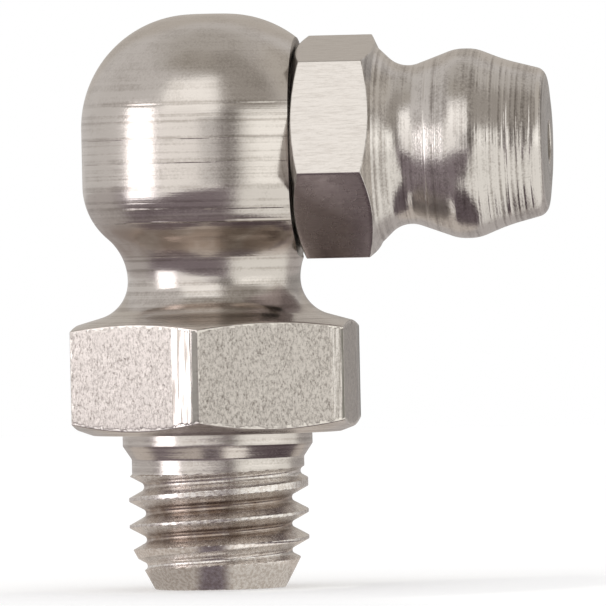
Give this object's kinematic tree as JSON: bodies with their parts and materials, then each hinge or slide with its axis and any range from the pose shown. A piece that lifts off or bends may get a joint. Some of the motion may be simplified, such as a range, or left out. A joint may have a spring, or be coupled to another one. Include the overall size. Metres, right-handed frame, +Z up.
{
  "type": "right-angle grease nipple",
  "caption": "Right-angle grease nipple: threaded hexagon stem with a ball elbow, and a conical coupling head with a spring-loaded check ball.",
  "frame": {"origin": "on the thread's axis, in the plane of the hexagon's underside, which seats on the machine", "axes": "+Z up the thread's axis, away from the thread's end; +X along the coupling head, out of its tip"},
  "size_m": [0.0164, 0.0108, 0.0197],
  "materials": {
    "elbow_steel": "turned stainless steel, satin",
    "head_steel": "turned stainless steel, satin",
    "ball_steel": "ground and polished bearing steel",
    "spring_steel": "drawn wire, smooth"
  },
  "bodies": {
    "fitting": {"elbow_body": "elbow_steel", "nipple_head": "head_steel", "valve_spring": "spring_steel"},
    "ball": {"check_ball": "ball_steel"}
  },
  "joints": [
    {"name": "ball_lift", "type": "slide", "parent": "fitting", "child": "ball", "axis": [-1, 0, 0], "range_m": [0, 0.0008], "stiffness_N_per_m": 300, "springref_m": -0.0008, "deforming": ["valve_spring"]}
  ]
}
